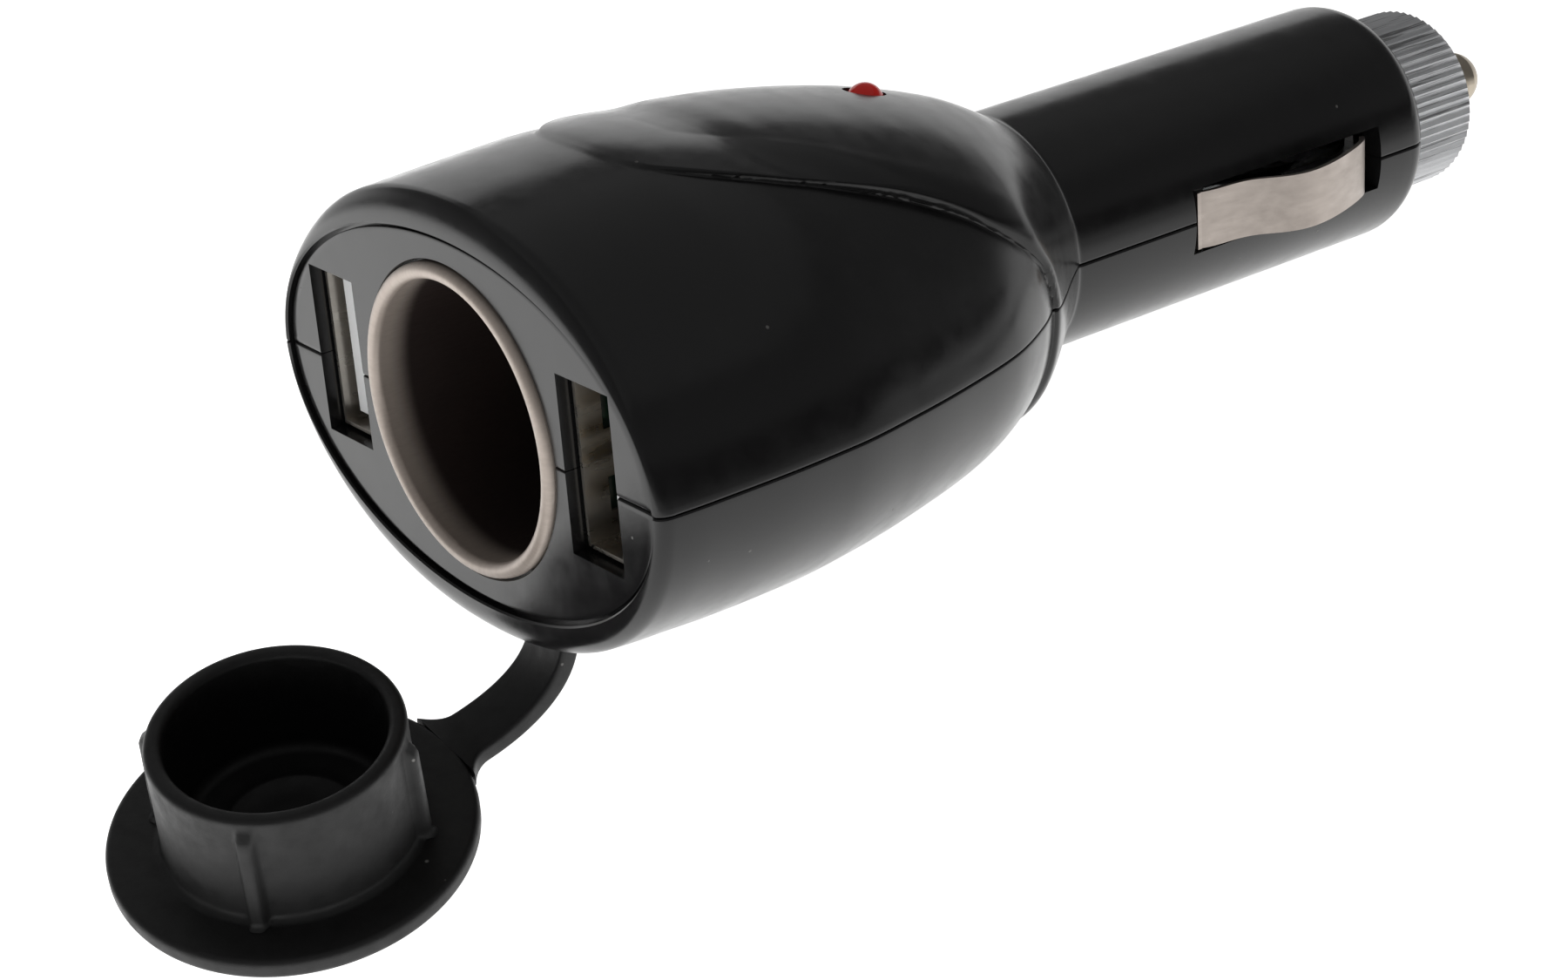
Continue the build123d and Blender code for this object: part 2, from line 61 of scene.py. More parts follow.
# ---------------------------------------------------------------------------
# small node helpers
# ---------------------------------------------------------------------------
class Mat:
    def __init__(self, name, color, rough, metal=0.0):
        self.m = bpy.data.materials.new(name)
        self.m.use_nodes = True
        self.nt = self.m.node_tree
        self.b = self.nt.nodes["Principled BSDF"]
        self.b.inputs["Base Color"].default_value = (*color, 1)
        self.b.inputs["Roughness"].default_value = rough
        self.b.inputs["Metallic"].default_value = metal
        self.coord = self.nt.nodes.new("ShaderNodeTexCoord").outputs["Object"]

    def put(self, name, value):
        self.b.inputs[name].default_value = value
        return self

    def node(self, kind, **inputs):
        n = self.nt.nodes.new(kind)
        for k, v in inputs.items():
            self.feed(n.inputs[k.replace("_", " ")], v)
        return n

    def feed(self, socket, v):
        if isinstance(v, bpy.types.NodeSocket):
            self.nt.links.new(v, socket)
        else:
            socket.default_value = v

    def stretch(self, sx, sy, sz):
        n = self.nt.nodes.new("ShaderNodeMapping")
        self.nt.links.new(self.coord, n.inputs["Vector"])
        n.inputs["Scale"].default_value = (sx, sy, sz)
        return n.outputs["Vector"]

    def noise(self, scale, detail=3.0, rough=0.55, vector=None):
        n = self.node("ShaderNodeTexNoise", Vector=vector or self.coord, Scale=scale, Detail=detail, Roughness=rough)
        return n.outputs["Fac"]

    def math(self, op, a, b=0.0, c=0.0):
        n = self.nt.nodes.new("ShaderNodeMath")
        n.operation = op
        for i, v in enumerate((a, b, c)):
            self.feed(n.inputs[i], v)
        return n.outputs[0]

    def span(self, v, a, b, lo, hi, smooth=False):
        n = self.node("ShaderNodeMapRange", Value=v)
        if smooth:
            n.interpolation_type = "SMOOTHSTEP"
        n.inputs["From Min"].default_value = a
        n.inputs["From Max"].default_value = b
        n.inputs["To Min"].default_value = lo
        n.inputs["To Max"].default_value = hi
        return n.outputs["Result"]

    def mix(self, fac, a, b):
        n = self.nt.nodes.new("ShaderNodeMix")
        n.data_type = "RGBA"
        self.feed(n.inputs[0], fac)
        for sock, v in ((n.inputs[6], a), (n.inputs[7], b)):
            self.feed(sock, v if isinstance(v, bpy.types.NodeSocket) else (*v, 1))
        return n.outputs[2]

    def color(self, out):
        self.nt.links.new(out, self.b.inputs["Base Color"])

    def rough(self, out):
        self.nt.links.new(out, self.b.inputs["Roughness"])

    def bump(self, height, strength, dist, after=None):
        n = self.node("ShaderNodeBump", Height=height, Strength=strength, Distance=dist)
        if after:
            self.nt.links.new(after, n.inputs["Normal"])
        self.nt.links.new(n.outputs["Normal"], self.b.inputs["Normal"])
        return n.outputs["Normal"]

    def axis(self, i):
        n = self.node("ShaderNodeSeparateXYZ", Vector=self.coord)
        return n.outputs[i]

    def specks(self, scale, size):
        """Sparse small dots, 1 in a dot and 0 elsewhere."""
        v = self.node("ShaderNodeTexVoronoi", Vector=self.coord, Scale=scale)
        keep = self.node("ShaderNodeSeparateColor", Color=v.outputs["Color"]).outputs[0]
        dot = self.span(v.outputs["Distance"], size * 0.6, size, 1, 0)
        return self.math("MULTIPLY", dot, self.math("GREATER_THAN", keep, 0.86))


# ---------------------------------------------------------------------------
# materials
# ---------------------------------------------------------------------------
def make_black_gloss():
    m = Mat("black_gloss", (0.011, 0.011, 0.012), 0.2)
    cloud = m.noise(90, 4)
    fine = m.noise(2600, 2)
    base = m.mix(cloud, (0.0085, 0.0085, 0.009), (0.0145, 0.014, 0.0142))
    dust = m.specks(330, 0.055)
    m.color(m.mix(m.math("MULTIPLY", dust, 0.30), base, (0.45, 0.44, 0.42)))
    r = m.span(m.noise(420, 5, 0.65), 0.3, 0.75, 0.15, 0.27)
    m.rough(m.math("ADD", r, m.math("MULTIPLY", dust, 0.4)))
    m.bump(m.math("ADD", fine, m.math("MULTIPLY", cloud, 0.4)), 0.10, 0.00002)
    m.put("IOR", 1.45)
    return m.m


def make_rubber():
    m = Mat("black_rubber", (0.02, 0.02, 0.021), 0.55)
    cloud = m.noise(120, 5, 0.6)
    base = m.mix(cloud, (0.006, 0.006, 0.0063), (0.016, 0.0158, 0.016))
    dust = m.specks(420, 0.09)
    m.color(m.mix(m.math("MULTIPLY", dust, 0.5), base, (0.5, 0.49, 0.47)))
    m.rough(m.span(m.noise(700, 4), 0.3, 0.75, 0.42, 0.62))
    grain = m.noise(3400, 3, 0.6)
    m.bump(m.math("ADD", grain, m.math("MULTIPLY", m.noise(500, 3), 0.6)), 0.35, 0.00004)
    m.put("Specular IOR Level", 0.42)
    return m.m


def make_socket_metal():
    """Satin nickel rim with fine radial marks; from about 1 mm to 3 mm behind the front face the colour fades to a
    near-black brown and the metal turns dull, painted shade standing in for the shade inside the tube.
    """
    m = Mat("satin_nickel", (0.62, 0.58, 0.53), 0.4, 1.0)
    sep = m.node("ShaderNodeSeparateXYZ", Vector=m.coord)
    x, y, z = sep.outputs
    ang = m.math("ARCTAN2", x, z)
    rad = m.math("SQRT", m.math("ADD", m.math("MULTIPLY", x, x), m.math("MULTIPLY", z, z)))
    ring = m.node("ShaderNodeCombineXYZ", X=ang, Y=m.math("MULTIPLY", rad, 25.0), Z=m.math("MULTIPLY", y, 20.0)).outputs[0]
    marks = m.noise(38, 4, 0.7, ring)
    blotch = m.noise(260, 4)
    # inside: 0 at the rim, 1 about 3 mm into the bore; it drives the painted shade of the bore (near-black colour,
    # less metallic, rougher)
    inside = m.span(y, -0.0513, -0.0490, 0.0, 1.0, True)
    hue = m.mix(m.math("MULTIPLY", marks, blotch), (0.56, 0.485, 0.43), (0.33, 0.275, 0.235))
    # painted shade: deeper in the bore the colour is a near-black brown instead of the nickel hue
    m.color(m.mix(inside, hue, m.mix(blotch, (0.016, 0.009, 0.008), (0.030, 0.017, 0.014))))
    m.feed(m.b.inputs["Metallic"], m.span(inside, 0.0, 1.0, 0.35, 0.1))
    m.rough(m.math("ADD", m.span(marks, 0.25, 0.75, 0.34, 0.52), m.math("MULTIPLY", inside, 0.25)))
    m.bump(marks, 0.25, 0.00004)
    return m.m


def make_metal(name, a, b, rough, brush, bump=0.15, metal=1.0):
    """Metal with fine lines; brush is the scale along x, y, z."""
    m = Mat(name, a, rough, metal)
    lines = m.noise(1.0, 4, 0.65, m.stretch(*brush))
    blotch = m.noise(230, 5, 0.6)
    m.color(m.mix(m.math("MULTIPLY", m.math("ADD", lines, blotch), 0.5), a, b))
    m.rough(m.math("ADD", m.span(lines, 0.3, 0.7, rough - 0.07, rough + 0.07), m.span(blotch, 0.35, 0.7, 0.0, 0.10)))
    m.bump(lines, bump, 0.00003)
    return m.m


def make_cap_metal():
    """Pale matt plating with uneven dark lines in the knurl."""
    m = Mat("cap_nickel", (0.8, 0.8, 0.81), 0.5, 0.2)
    x, y, z = m.node("ShaderNodeSeparateXYZ", Vector=m.coord).outputs
    ang = m.math("ARCTAN2", x, z)
    round_axis = m.node("ShaderNodeCombineXYZ", X=m.math("MULTIPLY", ang, 30.0), Y=m.math("MULTIPLY", y, 60.0)).outputs[0]
    lines = m.noise(1.0, 3, 0.7, round_axis)
    dark = m.span(lines, 0.36, 0.46, 1.0, 0.0, True)
    pale = m.mix(m.noise(320, 4), (0.86, 0.865, 0.88), (0.70, 0.705, 0.72))
    m.color(m.mix(m.math("MULTIPLY", dark, 0.8), pale, (0.16, 0.16, 0.165)))
    m.rough(m.span(m.noise(500, 3), 0.3, 0.7, 0.42, 0.58))
    m.bump(lines, 0.35, 0.00004)
    return m.m


def make_plastic(name, a, b, rough, grain=1500, bump=0.12):
    m = Mat(name, a, rough)
    cloud = m.noise(180, 4)
    m.color(m.mix(cloud, a, b))
    m.rough(m.span(m.noise(600, 3), 0.3, 0.7, rough - 0.06, rough + 0.08))
    m.bump(m.noise(grain, 3), bump, 0.00003)
    return m.m


def make_red_lens():
    m = Mat("red_lens", (0.62, 0.008, 0.004), 0.12)
    cloud = m.noise(900, 3)
    m.color(m.mix(cloud, (0.50, 0.004, 0.003), (0.72, 0.014, 0.006)))
    m.rough(m.span(cloud, 0.3, 0.7, 0.08, 0.16))
    m.put("Emission Color", (0.7, 0.01, 0.004, 1))
    m.put("Emission Strength", 0.16)
    m.put("IOR", 1.55)
    return m.m


def make_glass():
    m = Mat("clear_glass", (0.95, 0.97, 0.97), 0.03)
    m.put("Transmission Weight", 1.0)
    m.rough(m.span(m.noise(400, 3), 0.3, 0.7, 0.01, 0.06))
    return m.m


def make_board():
    m = Mat("board_green", (0.02, 0.13, 0.05), 0.35)
    traces = m.node("ShaderNodeTexWave", Vector=m.coord, Scale=420.0, Distortion=3.0).outputs["Fac"]
    m.color(m.mix(m.span(traces, 0.45, 0.55, 0, 1), (0.004, 0.016, 0.009), (0.007, 0.026, 0.014)))
    m.rough(m.span(m.noise(500), 0.3, 0.7, 0.28, 0.42))
    m.bump(traces, 0.2, 0.00003)
    return m.m


M = {
    "black_gloss": make_black_gloss(),
    "black_rubber": make_rubber(),
    "satin_nickel": make_socket_metal(),
    "port_steel": make_metal("port_steel", (0.60, 0.565, 0.51), (0.42, 0.39, 0.35), 0.24, (900, 120, 900)),
    "spring_nickel": make_metal("spring_nickel", (0.50, 0.445, 0.405), (0.36, 0.315, 0.285), 0.33, (1400, 160, 1400), 0.2),
    "cap_nickel": make_cap_metal(),
    "brass_nickel": make_metal("brass_nickel", (0.62, 0.55, 0.45), (0.40, 0.35, 0.28), 0.3, (120, 1500, 120)),
    "fuse_metal": make_metal("fuse_metal", (0.66, 0.65, 0.63), (0.5, 0.49, 0.47), 0.3, (120, 1500, 120)),
    "zinc_steel": make_metal("zinc_steel", (0.55, 0.55, 0.56), (0.4, 0.4, 0.41), 0.33, (800, 800, 200)),
    "brass": make_metal("brass", (0.72, 0.55, 0.27), (0.55, 0.40, 0.18), 0.3, (900, 200, 900)),
    "gold_contact": make_metal("gold_contact", (0.85, 0.64, 0.26), (0.66, 0.47, 0.16), 0.22, (900, 120, 900)),
    "copper": make_metal("copper", (0.70, 0.33, 0.17), (0.5, 0.21, 0.10), 0.3, (2500, 300, 300)),
    "capacitor_can": make_metal("capacitor_can", (0.6, 0.6, 0.62), (0.45, 0.45, 0.47), 0.35, (300, 300, 1400)),
    "dark_insulator": make_plastic("dark_insulator", (0.020, 0.010, 0.008), (0.034, 0.018, 0.013), 0.5),
    "white_plastic": make_plastic("white_plastic", (0.78, 0.79, 0.80), (0.86, 0.865, 0.865), 0.34),
    "chip_black": make_plastic("chip_black", (0.02, 0.02, 0.02), (0.035, 0.035, 0.035), 0.55),
    "red_insulation": make_plastic("red_insulation", (0.42, 0.012, 0.012), (0.52, 0.02, 0.018), 0.42),
    "black_insulation": make_plastic("black_insulation", (0.016, 0.016, 0.016), (0.028, 0.028, 0.028), 0.42),
    "red_lens": make_red_lens(),
    "clear_glass": make_glass(),
    "board_green": make_board(),
}
slot_of = {p["node"]: p["material_slot"] for p in frame["record"]["subparts"]}
for name, o in nodes.items():
    slot = "fuse_metal" if name == "fuse_end_caps" else slot_of[name]
    o.data.materials.clear()
    o.data.materials.append(M[slot])


# ---------------------------------------------------------------------------
# mesh helpers
# ---------------------------------------------------------------------------
def new_object(name, verts, faces, material, angle=32):
    me = bpy.data.meshes.new(name)
    me.from_pydata([tuple(v) for v in verts], [], [tuple(f) for f in faces])
    me.validate()
    o = bpy.data.objects.new(name, me)
    scene.collection.objects.link(o)
    me.materials.append(M[material])
    finish_mesh(o, angle)
    return o


def finish_mesh(o, angle=32):
    me = o.data
    bm = bmesh.new()
    bm.from_mesh(me)
    bmesh.ops.remove_doubles(bm, verts=bm.verts, dist=1e-7)
    bmesh.ops.recalc_face_normals(bm, faces=bm.faces)
    bm.to_mesh(me)
    bm.free()
    me.polygons.foreach_set("use_smooth", [True] * len(me.polygons))
    me.set_sharp_from_angle(angle=math.radians(angle))
    me.update()


def cut(o, cutters, angle=32):
    """Takes the cutters away from o and removes them."""
    for c in cutters:
        mod = o.modifiers.new("cut", "BOOLEAN")
        mod.operation = "DIFFERENCE"
        mod.solver = "EXACT"
        mod.object = c
    dg = bpy.context.evaluated_depsgraph_get()
    me = bpy.data.meshes.new_from_object(o.evaluated_get(dg))
    o.modifiers.clear()
    o.data = me
    for c in cutters:
        bpy.data.objects.remove(c)
    finish_mesh(o, angle)


def box_obj(x0, x1, y0, y1, z0, z1):
    v = [(x * MM, y * MM, z * MM) for x in (x0, x1) for y in (y0, y1) for z in (z0, z1)]
    f = [(0, 1, 3, 2), (4, 6, 7, 5), (0, 4, 5, 1), (2, 3, 7, 6), (0, 2, 6, 4), (1, 5, 7, 3)]
    return new_object("cutter", v, f, "black_gloss")


def post_obj(r, z0, z1, x, y, n=64):
    v, f = [], []
    for z in (z0, z1):
        v += [((x + r * math.cos(2 * math.pi * i / n)) * MM, (y + r * math.sin(2 * math.pi * i / n)) * MM, z * MM) for i in range(n)]
    f = [(i, (i + 1) % n, n + (i + 1) % n, n + i) for i in range(n)] + [tuple(range(n))[::-1], tuple(range(n, 2 * n))]
    return new_object("cutter", v, f, "black_gloss")


# ---------------------------------------------------------------------------
# housing skin: distance s behind the front face, angle th round the plug axis
# ---------------------------------------------------------------------------
def pch(xs, ys, x):
    xs, ys = np.asarray(xs, float), np.asarray(ys, float)
    x = np.clip(np.asarray(x, float), xs[0], xs[-1])
    h = np.diff(xs)
    d = np.diff(ys) / h
    m = np.zeros_like(ys)
    for i in range(1, len(xs) - 1):
        if d[i - 1] * d[i] > 0:
            w1, w2 = 2 * h[i] + h[i - 1], h[i] + 2 * h[i - 1]
            m[i] = (w1 + w2) / (w1 / d[i - 1] + w2 / d[i])
    m[0], m[-1] = d[0], d[-1]
    i = np.clip(np.searchsorted(xs, x, side="right") - 1, 0, len(h) - 1)
    t = (x - xs[i]) / h[i]
    return ys[i] * (1 + 2 * t) * (1 - t) ** 2 + h[i] * m[i] * t * (1 - t) ** 2 + ys[i + 1] * t * t * (3 - 2 * t) + h[i] * m[i + 1] * t * t * (t - 1)


def smax(a, b, k):
    h = np.clip(0.5 + 0.5 * (a - b) / k, 0, 1)
    return b + (a - b) * h + k * h * (1 - h)


S_UP = [0, 3, 5, 8, 11, 14, 17, 20, 23, 27, 31, 35, 39, 42, 45, 49, 53]
MAIN_UP = [16.8, 17.15, 17.35, 17.55, 17.7, 17.8, 17.7, 17.5, 17.05, 16.3, 15.5, 14.6, 13.7, 12.9, 12.1, 11.0, 8.5]
S_MAIN = [0, 4, 10, 17, 24, 30, 36, 41, 43, 46, 49, 53]
MAIN_A = [25.0, 25.2, 25.25, 24.95, 23.8, 22.4, 20.55, 17.85, 16.4, 13.7, 11.2, 8.5]
MAIN_LOW = [16.5, 17.15, 17.55, 17.65, 17.4, 16.8, 15.9, 14.8, 14.1, 12.8, 11.0, 8.5]
# exponent of the section, and how far beyond the seam its centre lies
SECTION = {True: (2.06, 4.0), False: (2.06, 1.5)}
# crease at the foot of the raised hood: angle round the plug axis, distance from the front
CREASE_TH = [0.0, 3.3, 12.5, 20.0, 26.4, 32.3, 38.4, 43.3, 48.4, 53.6, 59.8, 68.6, 76.3, 84.3, 90.0]
CREASE_S = [44.0, 43.83, 42.93, 40.69, 38.09, 35.64, 32.48, 29.31, 25.45, 21.06, 17.16, 13.75, 12.54, 12.16, 12.1]
RISE_S = [12, 17, 20, 21, 22, 23, 24, 25.5, 27, 30, 33, 36, 41, 44, 46.7, 53]
RISE = [0.02, 0.05, 0.08, 0.15, 0.31, 0.52, 0.70, 0.89, 1.07, 1.32, 1.5, 1.64, 1.73, 1.6, 1.4, 1.0]
# small step at the crease itself, and width of the slope behind it
STEP_S, STEP = [12, 12.6, 13.6, 15.5, 18, 21, 34, 38, 42, 53], [0.04, 0.07, 0.20, 0.36, 0.46, 0.52, 0.40, 0.14, 0.0, 0.0]
FLANK_S, FLANK = [12, 17, 21, 25, 29, 33, 53], [8.0, 7.5, 6.3, 5.0, 4.0, 3.4, 3.4]


def section_r(a, b, p, h, th):
    """Radius of the offset superellipse in direction th."""
    c, sn = np.abs(np.cos(th)), np.abs(np.sin(th))
    top = b + h
    half = a / (1 - (h / top) ** p) ** (1 / p)
    lo, hi = np.zeros_like(th), np.full_like(th, 60.0)
    for _ in range(44):
        mid = 0.5 * (lo + hi)
        out = (mid * c / half) ** p + ((mid * sn + h) / top) ** p > 1
        hi = np.where(out, mid, hi)
        lo = np.where(out, lo, mid)
    return 0.5 * (lo + hi)


def main_r(th, s, upper):
    a = pch(S_MAIN, MAIN_A, s)
    b = pch(S_UP, MAIN_UP, s) if upper else pch(S_MAIN, MAIN_LOW, s)
    p, h = SECTION[upper]
    k = np.clip((float(s) - 26) / 18, 0, 1)
    fade = 1 - k * k * (3 - 2 * k)
    front = np.clip(1 - float(s) / 7, 0, 1) ** 2
    p, h = 2.0 + (p - 2.0) * fade + 0.12 * front, h * fade + 0.02
    return section_r(float(a), float(b), p, h, np.asarray(th, float))


def oval(a, b, th):
    return a * b / np.sqrt((b * np.cos(th)) ** 2 + (a * np.sin(th)) ** 2)


def crease_line():
    t = np.linspace(0.0, 90.0, 400)
    ss = pch(CREASE_TH, CREASE_S, t)
    pts = []
    for d, sv in zip(np.radians(t), ss):
        r = float(main_r(np.array([d]), sv, True)[0])
        pts.append((r * math.cos(d), sv, r * math.sin(d)))
    pts = np.array(pts)
    return np.concatenate([pts, pts * np.array([-1.0, 1.0, 1.0])]), t, ss


CREASE, EDGE_TH, EDGE_S = crease_line()


def rise(th, s, upper):
    """Height of the hood over the oval body."""
    r = main_r(th, s, upper)
    if not upper:
        d = np.full_like(r, float(s) - 44.0)
    else:
        p = np.stack([r * np.cos(th), np.full_like(r, float(s)), r * np.sin(th)], -1)
        d = np.sqrt(((p[:, None, :] - CREASE[None]) ** 2).sum(-1)).min(1)
        if s >= 44.0:
            inside = np.ones_like(r, bool)
        elif s <= CREASE_S[-1]:
            inside = np.zeros_like(r, bool)
        else:
            edge = math.radians(float(np.interp(s, EDGE_S[::-1], EDGE_TH[::-1])))
            inside = (th > edge) & (th < math.pi - edge)
        d = np.where(inside, d, -d)
    width = float(pch(FLANK_S, FLANK, s))
    u = np.clip((d + 0.6) / (width + 0.6), 0, 1)
    k = np.clip((d + 0.18) / 0.48, 0, 1)
    step = float(pch(STEP_S, STEP, s)) * k * k * (3 - 2 * k) if upper else 0.0
    d = 0.5 * (d + np.sqrt(d * d + 0.012))
    f = 1 - np.clip(d / width, 0, 1)
    soft = float(np.clip((31.0 - float(s)) / 9.0, 0, 1)) if upper else 0.0
    soft = soft * soft * (3 - 2 * soft)
    shape = (1 - soft) * np.sqrt(np.clip(1 - f * f, 0, 1)) + soft * u * u * (3 - 2 * u)
    return r, float(pch(RISE_S, RISE, s)) * shape + step * (1 - 0.75 * np.clip(d / width, 0, 1))


def barrel_r(s):
    return 10.16 + 0.14 * np.clip((np.asarray(s, float) - 52) / 38, 0, 1)


def outer_r(th, s, upper):
    th = np.asarray(th, float)
    if s > 56:
        return barrel_r(s) + 0 * th
    r, up = rise(th, s, upper)
    r = r + up
    slope = 0.78 - (0.22 if upper else 0.06) * np.sin(th) ** 2
    r = -smax(-r, -(10.1 + (52 - s) * slope), 0.4)
    return smax(r, barrel_r(s) + 0 * th, 0.22)


def housing(name, upper):
    gap = 0.035
    edge_z = [0.035, 0.06, 0.10, 0.16, 0.23]
    inset = [0.15, 0.085, 0.04, 0.012, 0.0]
    low = math.radians(1.4)
    near_out = [1.5, 1.05, 0.74, 0.5, 0.34, 0.22, 0.14, 0.07]
    near_in = [0.0, 0.06, 0.12, 0.18, 0.25, 0.33, 0.43, 0.56, 0.75, 1.0, 1.35, 1.75, 2.2, 2.8]

    def spread(s):
        """Angles across one row; on the upper half they crowd round the crease."""
        if not upper:
            return np.linspace(low, math.pi - low, 210)
        mid = math.radians(min(68.0, max(13.0, float(np.interp(s, EDGE_S[::-1], EDGE_TH[::-1])))))
        k = 1.0 / 18.5
        a0, a1 = mid - near_out[0] * k, mid + near_in[-1] * k
        half = np.concatenate([
            np.linspace(low, a0, 55)[:-1], mid - np.array(near_out) * k, mid + np.array(near_in) * k,
            np.linspace(a1, math.pi / 2, 34)[1:-1]])
        return np.concatenate([half, [math.pi / 2], math.pi - half[::-1]])

    n = len(spread(0.0))
    cols = 2 * len(edge_z) + n
    skin_in = np.zeros(cols)
    skin_in[:5] = inset
    skin_in[-5:] = inset[::-1]

    def angles(r_mean, s):
        th_mid = spread(s)
        e = np.minimum(np.array(edge_z) / r_mean, np.array([0.2, 0.36, 0.52, 0.7, 0.86]) * math.radians(1.4))
        return np.concatenate([e, th_mid, math.pi - e[::-1]])

    rows = []          # each row: (th, r, s)

    def add(rfun, s, kind, r_ref):
        th = angles(r_ref, s)
        r = np.asarray(rfun(th), float) + np.zeros(cols)
        sv = np.full(cols, float(s))
        if kind == "side":
            r = r - skin_in
        elif kind == "front":
            sv = sv + skin_in
        elif kind == "corner":
            r, sv = r - 0.7 * skin_in, sv + 0.7 * skin_in
        rows.append((th, r, sv))

    rim = 1.3
    for i in range(13):                                  # rounded rim
        p = math.pi / 2 * i / 12
        add(lambda th: oval(24.12, 14.32, th) + (outer_r(th, rim, upper) - oval(24.12, 14.32, th)) * math.sin(p), rim - (rim + 0.12) * math.cos(p), "front" if i == 0 else "side" if i == 12 else "corner", 25.0)
    body_s = np.concatenate([np.arange(1.6, 11, 0.45), np.arange(11, 44, 0.26), np.arange(44, 54.2, 0.17)])
    for s in body_s:
        add(lambda th: outer_r(th, s, upper), s, "side", float(pch(S_MAIN, MAIN_A, s)) if s < 50 else 10.4)
    for s in np.arange(55, 90.6, 1.15):
        add(lambda th: outer_r(th, s, upper), s, "side", 10.3)
    for i in range(11):                                  # rounded barrel end
        p = math.pi / 2 * i / 10
        add(lambda th: 7.85 + 2.45 * math.cos(p), 90.75 + 2.45 * math.sin(p), "side", 9.0)
    add(lambda th: 6.25, 93.2, "in", 6.25)
    add(lambda th: 5.95, 92.9, "in", 5.95)
    for s in (91.5, 89.5, 88.0):
        add(lambda th: 5.95, s, "in", 5.95)
    for s in (88.0, 82, 76, 70, 64, 58, 54, 51.5):
        add(lambda th: 8.4, s, "in", 8.4)
    for s in np.concatenate([np.arange(50.0, 44, -0.75), np.arange(43.5, 3.2, -1.7), [2.65]]):
        add(lambda th: np.maximum(outer_r(th, s, upper) - 2.0, 8.4), s, "in", float(pch(S_MAIN, MAIN_A, s)) - 2 if s < 46 else 9.0)
    for f in (0.5, 1.0):                                 # inside of the front wall
        add(lambda th: (1 - f) * (outer_r(th, 2.65, upper) - 2.0) + f * 11.3, 2.65, "in", 14)
    add(lambda th: 11.3, 1.3, "in", 11.3)
    add(lambda th: 12.1, 1.3, "in", 12.1)
    add(lambda th: 12.1, 0.33, "in", 12.1)
    add(lambda th: 12.18, 0.25, "front", 12.2)
    for f in np.linspace(0.06, 1, 15):                   # sunk panel
        add(lambda th: (1 - f) * 12.18 + f * (oval(23.7, 13.9, th) - 0.16), 0.25, "front", 18)
    add(lambda th: oval(23.7, 13.9, th) - 0.05, 0.29, "front", 23.6)
    add(lambda th: oval(23.7, 13.9, th), 0.41, "in", 23.7)
    add(lambda th: oval(23.7, 13.9, th), 0.8, "in", 23.7)
    add(lambda th: oval(23.98, 14.18, th), 0.8, "in", 24.0)
    add(lambda th: oval(23.98, 14.18, th), 0.02, "in", 24.0)

    sign = 1 if upper else -1
    verts = []
    for th, r, sv in rows:
        x, z = r * np.cos(th), r * np.sin(th)
        z[0] = z[-1] = gap
        verts += [(x[k] * MM, (sv[k] - 52) * MM, sign * z[k] * MM) for k in range(cols)]
    nr = len(rows)
    faces = []
    for i in range(nr):
        j = (i + 1) % nr
        for k in range(cols - 1):
            faces.append((i * cols + k, i * cols + k + 1, j * cols + k + 1, j * cols + k))
    faces.append(tuple(i * cols for i in range(nr)))
    faces.append(tuple(i * cols + cols - 1 for i in range(nr))[::-1])
    return new_object(name, verts, faces, "black_gloss")


upper = housing("housing_upper_skin", True)
lower = housing("housing_lower_skin", False)


def port_cutters():
    out = []
    for x in (-16.5, 16.5):
        out.append(box_obj(x - 3.12, x + 3.12, -53, -48.5, 0.6 - 6.8, 0.6 + 6.8))
    for x0, x1 in ((-14, -4.4), (4.4, 14)):
        out.append(box_obj(x0, x1, 12.8, 34.7, -2.75, 2.75))
    return out


cut(upper, port_cutters() + [post_obj(1.7, 8, 20, 0, -12.6)])
cut(lower, port_cutters() + [box_obj(-2.8, 2.8, -46.9, -44.7, -20, -12)] + [post_obj(2.3, -20, -7, x, -13.8) for x in (-12.4, 12.4)])
# wells down to the screw heads, ending inside the wall


def under_z(x, y):
    """Depth of the skin below the seam at x, y."""
    lo, hi = 0.0, 25.0
    for _ in range(30):
        z = 0.5 * (lo + hi)
        if math.hypot(x, z) > float(outer_r(np.array([math.atan2(z, abs(x))]), y + 52, False)[0]):
            hi = z
        else:
            lo = z
    return lo


wells_v, wells_f = [], []
for x in (-12.4, 12.4):
    prof = [(2.3, None), (2.3, -6.0), (1.2, -6.0), (1.2, -5.0), (3.4, -5.0), (3.4, None)]
    b, n = len(wells_v), 40
    for r, z in prof:
        for i in range(n):
            px, py = x + r * math.cos(2 * math.pi * i / n), -13.8 + r * math.sin(2 * math.pi * i / n)
            pz = z if z is not None else -max(5.4, under_z(px, py) - (0.5 if r < 3 else 1.0))
            wells_v.append((px * MM, py * MM, pz * MM))
    for p in range(len(prof)):
        q = (p + 1) % len(prof)
        wells_f += [(b + p * n + i, b + p * n + (i + 1) % n, b + q * n + (i + 1) % n, b + q * n + i) for i in range(n)]
wells = new_object("screw_wells", wells_v, wells_f, "black_gloss")
for o, node in ((upper, "upper_housing"), (lower, "lower_housing")):
    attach(o, "housing")
    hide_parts(node)
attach(wells, "housing")

# ---------------------------------------------------------------------------
# rubber dust cap
# ---------------------------------------------------------------------------
cap_c = Vector((-2.49, -68.41, -27.68))
cap_n = Vector((0.217, -0.137, 0.967)).normalized()
cap_x = Vector((0.97573, 0, -0.21896)).normalized()
cap_d = cap_n.cross(cap_x).normalized()


def cap_point(x, y, z):
    return (cap_c + cap_x * x + cap_d * y + cap_n * z) * MM


def arc(cx, cz, r, a0, a1, n=6):
    return [(cx + r * math.cos(math.radians(a0 + (a1 - a0) * i / n)), cz + r * math.sin(math.radians(a0 + (a1 - a0) * i / n))) for i in range(n + 1)]


